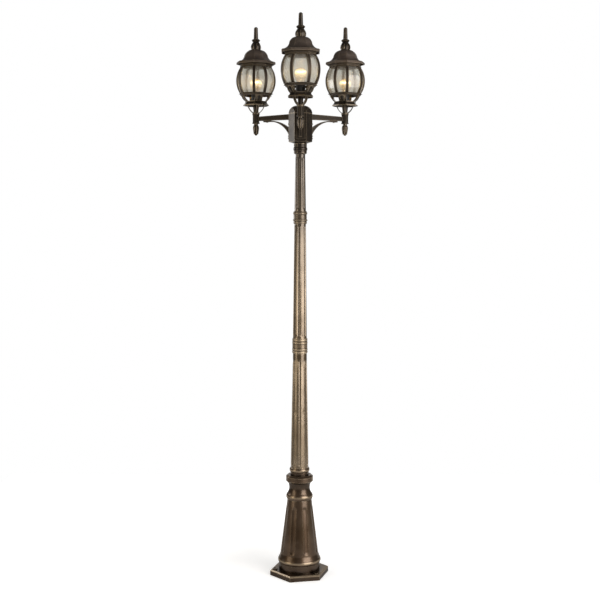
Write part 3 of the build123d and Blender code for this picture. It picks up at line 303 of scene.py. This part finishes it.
def seeded_glass(name, low, high):
    """Clear pressed glass; seeds and ripples blur what is behind it, and a painted warm glow by
    height stands in for the lamp's light caught in them.
    """
    m = Nodes(name)
    seeds = m.noise(PANE_SEED_SCALE, PANE_RIPPLE_DETAIL)
    ripples = m.noise(PANE_RIPPLE_SCALE, PANE_RIPPLE_DETAIL, stretch=PANE_RIPPLE_STRETCH)
    m.feed(m.ramp(m.noise(PANE_TINT_SCALE), PANE_TINTS), "Base Color")
    m.feed(m.grey(ripples, PANE_ROUGHNESS), "Roughness")
    # Painted glow: warm light on the panes by height, brightest near the lamp
    glow = m.grey(m.height_share(low, high), PANE_PAINTED_GLOW_STOPS)
    m.feed(m.mix(1.0, glow, PANE_PAINTED_GLOW_COLOUR, blend="MULTIPLY"), "Emission Color")
    m.set(
        Transmission_Weight=0.86,
        IOR=1.45,
        Emission_Strength=PANE_PAINTED_GLOW,
        Coat_Weight=0.2,
        Coat_Roughness=0.05,
    )
    m.bump(m.mix(PANE_RIPPLE_SHARE, seeds, ripples), PANE_BUMP, PANE_BUMP_DEEP)
    return m.material


def lit_bulb(name, low, high):
    """Blown lamp envelope that glows around its filament's height."""
    m = Nodes(name)
    up = m.height_share(low, high)
    colour = m.ramp(up, BULB_COLOURS)
    strength = m.grey(up, BULB_GLOW_STOPS)
    m.feed(m.mix(1.0, colour, strength, blend="MULTIPLY"), "Emission Color")
    m.feed(m.ramp(m.noise(BULB_TINT_SCALE), BULB_TINTS), "Base Color")
    m.set(Transmission_Weight=1.0, Roughness=0.12, IOR=1.3, Emission_Strength=BULB_GLOW)
    return m.material


def plain_metal(name, dark, light, roughness):
    """Bare metal with a fine grain."""
    m = Nodes(name)
    grain = m.ramp(m.noise(METAL_SCALE), ((METAL_DARK_AT, dark), (METAL_LIGHT_AT, light)))
    m.feed(grain, "Base Color")
    m.set(Metallic=1.0, Roughness=roughness)
    m.bump(m.noise(METAL_SKIN_SCALE, METAL_SKIN_DETAIL), METAL_BUMP, FINE_SKIN_DEEP)
    return m.material


def phenolic(name):
    """Black moulded plastic of the lamp holders."""
    m = Nodes(name)
    m.feed(m.ramp(m.noise(HOLDER_SPECKLE_SCALE), HOLDER_SPECKLE), "Base Color")
    m.feed(m.grey(m.noise(HOLDER_ROUGH_SCALE), HOLDER_ROUGHNESS), "Roughness")
    m.bump(m.noise(HOLDER_SKIN_SCALE), HOLDER_BUMP, FINE_SKIN_DEEP)
    return m.material


def glowing(name, strength):
    """White-hot wire."""
    m = Nodes(name)
    m.feed(m.ramp(m.noise(FILAMENT_SCALE), FILAMENT_COLOURS), "Emission Color")
    m.set(Emission_Strength=strength)
    return m.material


def crest_stops(heights, half, share):
    """Height stops that rise to a share at each height and fall to nothing half a crest away."""
    stops = []
    for height in heights:
        stops += [(height - half, 0.0), (height, share), (height + half, 0.0)]
    return stops


def ring_shade_and_highlights():
    """Painted shade in both collars' ring grooves and painted highlights on their crests."""
    tones = []
    for node, strength, grooves, crests in COLLAR_RINGS:
        low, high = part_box(node)
        for shares, tone in ((grooves, RING_GROOVE_SHADE), (crests, GOLD_RUB_AND_HIGHLIGHT)):
            heights = [low.z + share * (high.z - low.z) for share in shares]
            tones.append((crest_stops(heights, RING_HALF, strength), tone))
    return tones


pane_low, pane_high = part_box("glass_panes_1")
bulb_low, bulb_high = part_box("bulb_glass_1")
# Height bands: painted shade on the upper post and on the base's plate, foot and waist
upper_tones = [(UPPER_STOPS, UPPER_SHADE)]
bead_highlight_stops = crest_stops(BEAD_HEIGHTS, BEAD_HALF, BEAD_HIGHLIGHT)
base_tones = [(stops, HOLLOW_SHADE) for stops in (PLATE_STOPS, FOOT_STOPS, WAIST_STOPS)]
# Rubbed gold along the plate's rim, and painted highlights on the bead crests
base_tones += [(stops, GOLD_RUB_AND_HIGHLIGHT) for stops in (RIM_STOPS, bead_highlight_stops)]

SHAFT = rubbed_bronze(
    "shaft_bronze",
    mid=SHAFT_MID,
    dark=SHAFT_DARK,
    rub=GOLD_RUB_AND_HIGHLIGHT,
    streak=0.05,
    patch=7.0,
    wear=0.5,
    metal=0.75,
    gloss=0.9,
    tones=upper_tones,
)
COLLAR = rubbed_bronze(
    "collar_bronze",
    mid=SHAFT_MID,
    dark=SHAFT_DARK,
    rub=GOLD_RUB_AND_HIGHLIGHT,
    streak=0.5,
    patch=9.0,
    wear=0.9,
    metal=0.65,
    gloss=0.5,
    rough=0.34,
    tones=upper_tones + ring_shade_and_highlights(),
)
BRONZE = rubbed_bronze(
    "cast_bronze",
    mid=BASE_MID,
    dark=BASE_DARK,
    rub=HUB_RUB,
    streak=0.06,
    patch=7.0,
    wear=0.9,
    metal=0.88,
    gloss=0.45,
    rough=0.28,
    tones=base_tones,
)
HUB = rubbed_bronze(
    "hub_bronze",
    mid=HUB_MID,
    dark=HUB_DARK,
    rub=HUB_RUB,
    streak=0.25,
    patch=14.0,
    wear=0.45,
    metal=0.6,
    gloss=0.25,
)
ROOF = rubbed_bronze(
    "roof_bronze",
    mid=ROOF_MID,
    dark=ROOF_DARK,
    rub=BRONZE_MID,
    streak=0.6,
    patch=16.0,
    wear=0.3,
    metal=0.3,
    gloss=0.0,
    rough=0.5,
)
ARM = rubbed_bronze(
    "arm_bronze",
    mid=ARM_MID,
    dark=HUB_DARK,
    rub=BRONZE_DARK,
    streak=0.25,
    patch=14.0,
    wear=0.12,
    metal=0.3,
    gloss=0.0,
    rough=0.4,
)
CAGE = rubbed_bronze(
    "cage_bronze",
    mid=CAGE_MID,
    dark=CAGE_DARK,
    rub=BRONZE_MID,
    streak=0.6,
    patch=16.0,
    wear=0.2,
    metal=0.4,
    gloss=0.0,
    rough=0.4,
)
GLASS = seeded_glass("pane_glass", pane_low.z, pane_high.z)
BULB = lit_bulb("bulb_glow", bulb_low.z, bulb_high.z)
STEEL = plain_metal("dark_steel", STEEL_DARK, STEEL_LIGHT, roughness=0.38)
BRASS = plain_metal("lamp_brass", BRASS_DARK, BRASS_LIGHT, roughness=0.28)
BLACK = phenolic("holder_black")
GLOW = glowing("filament_glow", FILAMENT_GLOW)


def dress(material, *names):
    """Give CAD nodes a material."""
    for name in names:
        mesh = NODES[name].data
        mesh.materials.clear()
        mesh.materials.append(material)


def dress_arms(material, *names):
    """Give a material to CAD nodes that come once for each arm."""
    dress(material, *(f"{name}_{arm}" for name in names for arm in ARMS))


dress(SHAFT, "lower_post", "middle_post", "upper_post")
dress(COLLAR, "lower_collar", "upper_collar")
dress(BRONZE, "base_casting")
dress(HUB, "hub", "hub_cap", "post_capital")
dress(STEEL, "capital_set_screws")
dress_arms(HUB, "acorn_nut", "strap_cage", "spacer_tube", "gallery", "finial")
dress_arms(ARM, "arm", "brace")
dress_arms(CAGE, "cage")
dress_arms(ROOF, "roof")
dress_arms(GLASS, "glass_panes")
dress_arms(BULB, "bulb_glass")
dress_arms(BRASS, "bulb_cap")
dress_arms(STEEL, "brace_screw", "threaded_nipple")
dress_arms(BLACK, "lamp_socket")

# Added pieces
WIRE_SMOOTHNESS = 3
WIRE_ORDER = 3


def finish_piece(name, data, material, body):
    """Link a new mesh or curve as a piece that rides on a body."""
    data.materials.append(material)
    piece = bpy.data.objects.new(name, data)
    bpy.context.scene.collection.objects.link(piece)
    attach(piece, body)


def wires(name, paths, radius, material, body):
    """Round wires through lists of points, as one curve piece."""
    curve = bpy.data.curves.new(name, "CURVE")
    curve.dimensions = "3D"
    curve.bevel_depth = radius
    curve.bevel_resolution = WIRE_SMOOTHNESS
    curve.use_fill_caps = True
    for path in paths:
        spline = curve.splines.new("NURBS")
        spline.points.add(len(path) - 1)
        for point, place in zip(spline.points, path):
            point.co = (*place, 1.0)
        spline.order_u = WIRE_ORDER
        spline.use_endpoint_u = True
    finish_piece(name, curve, material, body)


# Lit filament of each lamp, a coiled wire across the bulb, on two leads, in metres
FILAMENT_HALF = 0.011
FILAMENT_COIL_R = 0.0016
FILAMENT_WIRE_R = 0.0007
FILAMENT_TURNS = 9
FILAMENT_STEPS = 10
LEAD_FOOT_HALF = 0.004
LEAD_FOOT_UP = 0.002
LEAD_R = 0.0005


def light_lamp(arm):
    """The filament of one arm's lamp and its two leads."""
    low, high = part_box(f"bulb_glass_{arm}")
    centre = (low + high) / 2
    centre.z = low.z + FILAMENT_UP * (high.z - low.z)
    steps = FILAMENT_TURNS * FILAMENT_STEPS
    coil = []
    for step in range(steps + 1):
        share = step / steps
        turn = 2 * pi * FILAMENT_TURNS * share
        along = (2 * share - 1) * FILAMENT_HALF
        offset = (along, FILAMENT_COIL_R * cos(turn), FILAMENT_COIL_R * sin(turn))
        coil.append(centre + Vector(offset))
    wires(f"filament_{arm}", [coil], FILAMENT_WIRE_R, GLOW, f"bulb_{arm}")
    leads = []
    for side in (-1, 1):
        foot = Vector((centre.x + side * LEAD_FOOT_HALF, centre.y, low.z + LEAD_FOOT_UP))
        top = centre + Vector((side * FILAMENT_HALF, 0, 0))
        leads.append([foot, (foot + top) / 2, top])
    wires(f"filament_leads_{arm}", leads, LEAD_R, STEEL, f"bulb_{arm}")


for arm in ARMS:
    light_lamp(arm)

# Lanterns are eight-sided, with wide and narrow flats in turn; angles are half of a flat's
FLATS = 8
WIDE_HALF = radians(26.0)
NARROW_HALF = radians(19.0)
NARROW_SPREAD = cos(NARROW_HALF) / cos(WIDE_HALF)

# Leaf on each gallery leg, in metres from the lantern's axis and shares of the leaf's height
LEGS = 4
LEG_FOOT_R = 0.041 * NARROW_SPREAD
LEG_TOP_INSET = 0.003
LEG_TOP_R = 0.060 * NARROW_SPREAD - LEG_TOP_INSET
LEG_BOW = 0.0025
LEG_H = 0.023
LEAF_ROWS = 18
LEAF_COLUMNS = 9
LEAF_HALF_W = 0.0155
LEAF_FOOT_W_SHARE = 0.62
LEAF_RELIEF = 0.0032
LEAF_SEAT = LEAF_RELIEF / 4
LEAF_LOBES = 3
LEAF_LOBE_DEEP = 0.28
LEAF_LOBE_SHIFT = 0.12
LEAF_VEINS = 3
LEAF_VEIN_DEEP = 0.28
LEAF_CURL = 0.006
LEAF_CURL_FROM = 0.75
LEAF_TIP_CUT = 0.72

# Bead row in each frieze's groove, in metres
FRIEZE_APOTHEM = 0.0615
FRIEZE_GROOVE_DEEP = 0.0035
FRIEZE_GROOVE_DOWN = 0.0125
FRIEZE_BEAD_R = 0.0016
FRIEZE_BEAD_STEP = 0.0052
FRIEZE_BEAD_AROUND = 10
FRIEZE_BEAD_UP = 6

# Raised ribs on the finial's vase and on the acorn nut, as (radius, share of height) along them
RIB_COUNT = 8
VASE_RIB = (
    (0.0186, 0.03),
    (0.0205, 0.10),
    (0.0204, 0.15),
    (0.0186, 0.22),
    (0.0155, 0.27),
    (0.0130, 0.31),
)
VASE_RIB_R = 0.0016
ACORN_RIB = ((0.0085, 0.10), (0.0113, 0.42), (0.0124, 0.62), (0.0120, 0.75), (0.0095, 0.86))
ACORN_RIB_R = 0.0011


class Lantern:
    """Places around one lantern's axis: out along its arm, turned about the axis, up."""

    def __init__(self, arm):
        low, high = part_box(f"finial_{arm}")
        self.axis = Vector(((low.x + high.x) / 2, (low.y + high.y) / 2, 0))
        self.turn = atan2(self.axis.y, self.axis.x)

    def at(self, radius, angle, height):
        """Point at a radius and an angle from the arm's direction, in metres and radians."""
        whole = self.turn + angle
        return self.axis + Vector((radius * cos(whole), radius * sin(whole), height))


def smooth_mesh(name, form):
    """A smooth mesh from a finished bmesh."""
    mesh = bpy.data.meshes.new(name)
    form.to_mesh(mesh)
    form.free()
    mesh.shade_smooth()
    return mesh


def leaf_rows(form, lantern, angle, foot_z, top_z):
    """Front and back points of a lobed leaf along a leg's face, row by row from its foot."""
    front, back = [], []
    for row in range(LEAF_ROWS):
        up = row / (LEAF_ROWS - 1)
        curl = max(0.0, up - LEAF_CURL_FROM) / (1 - LEAF_CURL_FROM)
        bow = LEG_BOW * 4 * up * (1 - up)
        radius = LEG_FOOT_R + (LEG_TOP_R - LEG_FOOT_R) * up + bow + LEAF_CURL * curl**2
        height = foot_z + (top_z - foot_z) * up
        wave = abs(sin(LEAF_LOBES * pi * (up + LEAF_LOBE_SHIFT)))
        lobe = 1 - LEAF_LOBE_DEEP + LEAF_LOBE_DEEP * wave
        widening = LEAF_FOOT_W_SHARE + (1 - LEAF_FOOT_W_SHARE) * up
        half = LEAF_HALF_W * lobe * widening * (1 - LEAF_TIP_CUT * curl**2)
        front_row, back_row = [], []
        for column in range(LEAF_COLUMNS):
            across = 2 * column / (LEAF_COLUMNS - 1) - 1
            vein = LEAF_VEIN_DEEP * cos(LEAF_VEINS * pi * across) ** 2
            rise = LEAF_RELIEF * (1 - across**2) * (1 - LEAF_VEIN_DEEP + vein)
            side = angle + atan2(half * across, radius)
            slant = (radius**2 + (half * across) ** 2) ** 0.5
            front_row.append(form.verts.new(lantern.at(slant + rise, side, height)))
            back_row.append(form.verts.new(lantern.at(slant - LEAF_SEAT, side, height)))
        front.append(front_row)
        back.append(back_row)
    return front, back


def leaf_mesh(name, lantern, angle, foot_z, top_z):
    """A lobed leaf in relief along a gallery leg's face, with a curled tip, closed at the back."""
    form = bmesh.new()
    front, back = leaf_rows(form, lantern, angle, foot_z, top_z)
    for row in range(LEAF_ROWS - 1):
        for column in range(LEAF_COLUMNS - 1):
            a, b = front[row], front[row + 1]
            form.faces.new((a[column], a[column + 1], b[column + 1], b[column]))
            a, b = back[row], back[row + 1]
            form.faces.new((a[column], b[column], b[column + 1], a[column + 1]))
        for edge in (0, LEAF_COLUMNS - 1):
            a, b = front[row], front[row + 1]
            c, d = back[row + 1], back[row]
            form.faces.new((a[edge], b[edge], c[edge], d[edge]))
    for row in (0, LEAF_ROWS - 1):
        for column in range(LEAF_COLUMNS - 1):
            a, b = front[row], back[row]
            form.faces.new((a[column], a[column + 1], b[column + 1], b[column]))
    bmesh.ops.recalc_face_normals(form, faces=form.faces)
    return smooth_mesh(name, form)


def bead_row_mesh(name, lantern, height):
    """Small beads round the frieze's groove, a row along each wide and narrow flat."""
    form = bmesh.new()
    for flat in range(FLATS):
        facing = 2 * pi * flat / FLATS
        narrow = flat % 2
        spread = NARROW_SPREAD if narrow else 1.0
        apothem = FRIEZE_APOTHEM * spread - FRIEZE_GROOVE_DEEP
        half_flat = apothem * tan(NARROW_HALF if narrow else WIDE_HALF)
        beads = int(2 * half_flat / FRIEZE_BEAD_STEP)
        for bead in range(beads):
            along = FRIEZE_BEAD_STEP * (bead - (beads - 1) / 2)
            radius = (apothem**2 + along**2) ** 0.5
            place = lantern.at(radius, facing + atan2(along, apothem), height)
            bmesh.ops.create_uvsphere(
                form,
                u_segments=FRIEZE_BEAD_AROUND,
                v_segments=FRIEZE_BEAD_UP,
                radius=FRIEZE_BEAD_R,
                matrix=Matrix.Translation(place),
            )
    return smooth_mesh(name, form)


def ribs(lantern, profile, low, high):
    """Paths up a turned piece, evenly spaced round its axis."""
    paths = []
    for rib in range(RIB_COUNT):
        angle = 2 * pi * rib / RIB_COUNT
        path = [lantern.at(radius, angle, low + share * (high - low)) for radius, share in profile]
        paths.append(path)
    return paths


def ornament(arm):
    """Leg leaves, frieze beads, finial ribs and acorn ribs of one arm's lantern."""
    lantern = Lantern(arm)
    gallery_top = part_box(f"gallery_{arm}")[1].z
    for leg in range(LEGS):
        name = f"leg_leaf_{arm}_{leg + 1}"
        turn = pi / LEGS + 2 * pi * leg / LEGS
        leaf = leaf_mesh(name, lantern, turn, gallery_top - LEG_H, gallery_top)
        finish_piece(name, leaf, HUB, "head")
    cage_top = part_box(f"cage_{arm}")[1].z
    beads = bead_row_mesh(f"frieze_beads_{arm}", lantern, cage_top - FRIEZE_GROOVE_DOWN)
    finish_piece(f"frieze_beads_{arm}", beads, HUB, "head")
    roof_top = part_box(f"roof_{arm}")[1].z
    finial_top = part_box(f"finial_{arm}")[1].z
    vase_ribs = ribs(lantern, VASE_RIB, roof_top, finial_top)
    finial_body = f"finial_knob_{arm}"
    wires(f"finial_ribs_{arm}", vase_ribs, VASE_RIB_R, HUB, finial_body)
    acorn_low, acorn_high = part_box(f"acorn_nut_{arm}")
    acorn_ribs = ribs(lantern, ACORN_RIB, acorn_low.z, acorn_high.z)
    wires(f"acorn_ribs_{arm}", acorn_ribs, ACORN_RIB_R, HUB, "head")


for arm in ARMS:
    ornament(arm)

# Floor and world; the floor's lengths are in metres
FLOOR_HALF = 1.7
FLOOR_NEAR = 0.35
FLOOR_FAR = 1.5
FLOOR_LIFT = 0.42
FLOOR_GREY = (0.86, 0.86, 0.86)
FLOOR_GLOSS_FROM = 0.3
FLOOR_GLOSS_TO = 1.6
WORLD_LIGHT = 0.36
WORLD_FRONT = 0.14
WORLD_GLOSS_FROM = 0.7
WORLD_GLOSS_TO = 0.98

# Studio lamps: name, place, target, size, watts, colour
SOFTBOXES = (
    ("right_box", (2.25, -2.15, 1.7), (0, 0, 1.2), (2.6, 3.2), 105.0, (1.0, 0.96, 0.93)),
    ("left_box", (-2.7, -1.55, 1.7), (0, 0, 1.2), (1.4, 3.2), 30.0, (1.0, 0.89, 0.70)),
    ("back_box", (0.4, 3.4, 3.2), (0, 0, 1.4), (2.4, 1.6), 12.0, WHITE),
    ("head_box", (-2.4, 1.4, 1.95), (0, 0, 1.9), (1.4, 1.0), 14.0, WHITE),
)

# Camera, worked out from the photograph, in metres, degrees and millimetres
CAMERA_AT = (0.0, -4.397, 1.526)
CAMERA_DOWN = 4.57
CAMERA_ROLL = 0.15
CAMERA_LENS = 63.0
CAMERA_SENSOR = 36.0


def seen_directly(tree):
    """Two outputs: 1 for rays from the camera or through glass, and 1 for rays off gloss."""
    paths = tree.nodes.new("ShaderNodeLightPath")
    either = tree.nodes.new("ShaderNodeMath")
    either.operation = "MAXIMUM"
    tree.links.new(paths.outputs["Is Camera Ray"], either.inputs[0])
    tree.links.new(paths.outputs["Is Transmission Ray"], either.inputs[1])
    return either.outputs[0], paths.outputs["Is Glossy Ray"]


def value_range(tree, source, low, high, at_low, at_high):
    """Numbers that go from at_low to at_high as the source goes from low to high."""
    node = tree.nodes.new("ShaderNodeMapRange")
    values = {"From Min": low, "From Max": high, "To Min": at_low, "To Max": at_high}
    for name, value in values.items():
        socket = node.inputs[name]
        if isinstance(value, bpy.types.NodeSocket):
            tree.links.new(value, socket)
        else:
            socket.default_value = value
    tree.links.new(source, node.inputs["Value"])
    return node.outputs["Result"]


def stage_floor():
    """White floor that keeps the object's shadow and grows fully white away from it."""
    mesh = bpy.data.meshes.new("floor")
    h = FLOOR_HALF
    mesh.from_pydata([(-h, -h, 0), (h, -h, 0), (h, h, 0), (-h, h, 0)], [], [(0, 1, 2, 3)])
    floor = bpy.data.objects.new("floor", mesh)
    bpy.context.scene.collection.objects.link(floor)
    m = Nodes("floor_white")
    m.set(Base_Color=(*FLOOR_GREY, 1.0), Roughness=0.9, Emission_Color=(*WHITE, 1.0))
    away = m.add("ShaderNodeVectorMath", operation="LENGTH")
    m.link(m.place(), away.inputs[0])
    split = m.add("ShaderNodeSeparateXYZ")
    m.link(m.place(), split.inputs["Vector"])
    lift = value_range(m.tree, away.outputs["Value"], FLOOR_NEAR, FLOOR_FAR, FLOOR_LIFT, 1.0)
    behind = split.outputs["Y"]
    room = value_range(m.tree, behind, FLOOR_GLOSS_FROM, FLOOR_GLOSS_TO, 0.0, lift)
    direct, glossy = seen_directly(m.tree)
    reflected = value_range(m.tree, glossy, 0.0, 1.0, 0.0, room)
    m.feed(value_range(m.tree, direct, 0.0, 1.0, reflected, lift), "Emission Strength")
    mesh.materials.append(m.material)


def stage_world():
    """White all round for the camera; gloss sees it white behind the object and dim in front."""
    world = bpy.data.worlds.new("studio")
    bpy.context.scene.world = world
    world.use_nodes = True
    tree = world.node_tree
    light = tree.nodes["Background"]
    light.inputs["Color"].default_value = (*WHITE, 1.0)
    toward = tree.nodes.new("ShaderNodeTexCoord")
    split = tree.nodes.new("ShaderNodeSeparateXYZ")
    tree.links.new(toward.outputs["Generated"], split.inputs["Vector"])
    behind = split.outputs["Y"]
    room = value_range(tree, behind, WORLD_GLOSS_FROM, WORLD_GLOSS_TO, WORLD_FRONT, 1.0)
    direct, glossy = seen_directly(tree)
    reflected = value_range(tree, glossy, 0.0, 1.0, WORLD_LIGHT, room)
    strength = value_range(tree, direct, 0.0, 1.0, reflected, 1.0)
    tree.links.new(strength, light.inputs["Strength"])


def softbox(name, place, target, size, watts, colour):
    """A rectangular studio lamp that faces a point."""
    lamp = bpy.data.lights.new(name, "AREA")
    lamp.shape = "RECTANGLE"
    lamp.size, lamp.size_y = size
    lamp.energy = watts
    lamp.color = colour
    light = bpy.data.objects.new(name, lamp)
    light.location = place
    facing = Vector(target) - Vector(place)
    light.rotation_euler = facing.to_track_quat("-Z", "Y").to_euler()
    bpy.context.scene.collection.objects.link(light)


def stage_camera():
    """The photograph's camera."""
    camera = bpy.data.cameras.new("camera")
    camera.lens = CAMERA_LENS
    camera.sensor_width = CAMERA_SENSOR
    view = bpy.data.objects.new("camera", camera)
    view.matrix_world = (
        Matrix.Translation(CAMERA_AT)
        @ Matrix.Rotation(radians(90.0 - CAMERA_DOWN), 4, "X")
        @ Matrix.Rotation(radians(CAMERA_ROLL), 4, "Z")
    )
    bpy.context.scene.collection.objects.link(view)
    bpy.context.scene.camera = view


stage_floor()
stage_world()
for box in SOFTBOXES:
    softbox(*box)
stage_camera()
bpy.context.scene.view_settings.view_transform = "Standard"

bpy.context.view_layer.update()
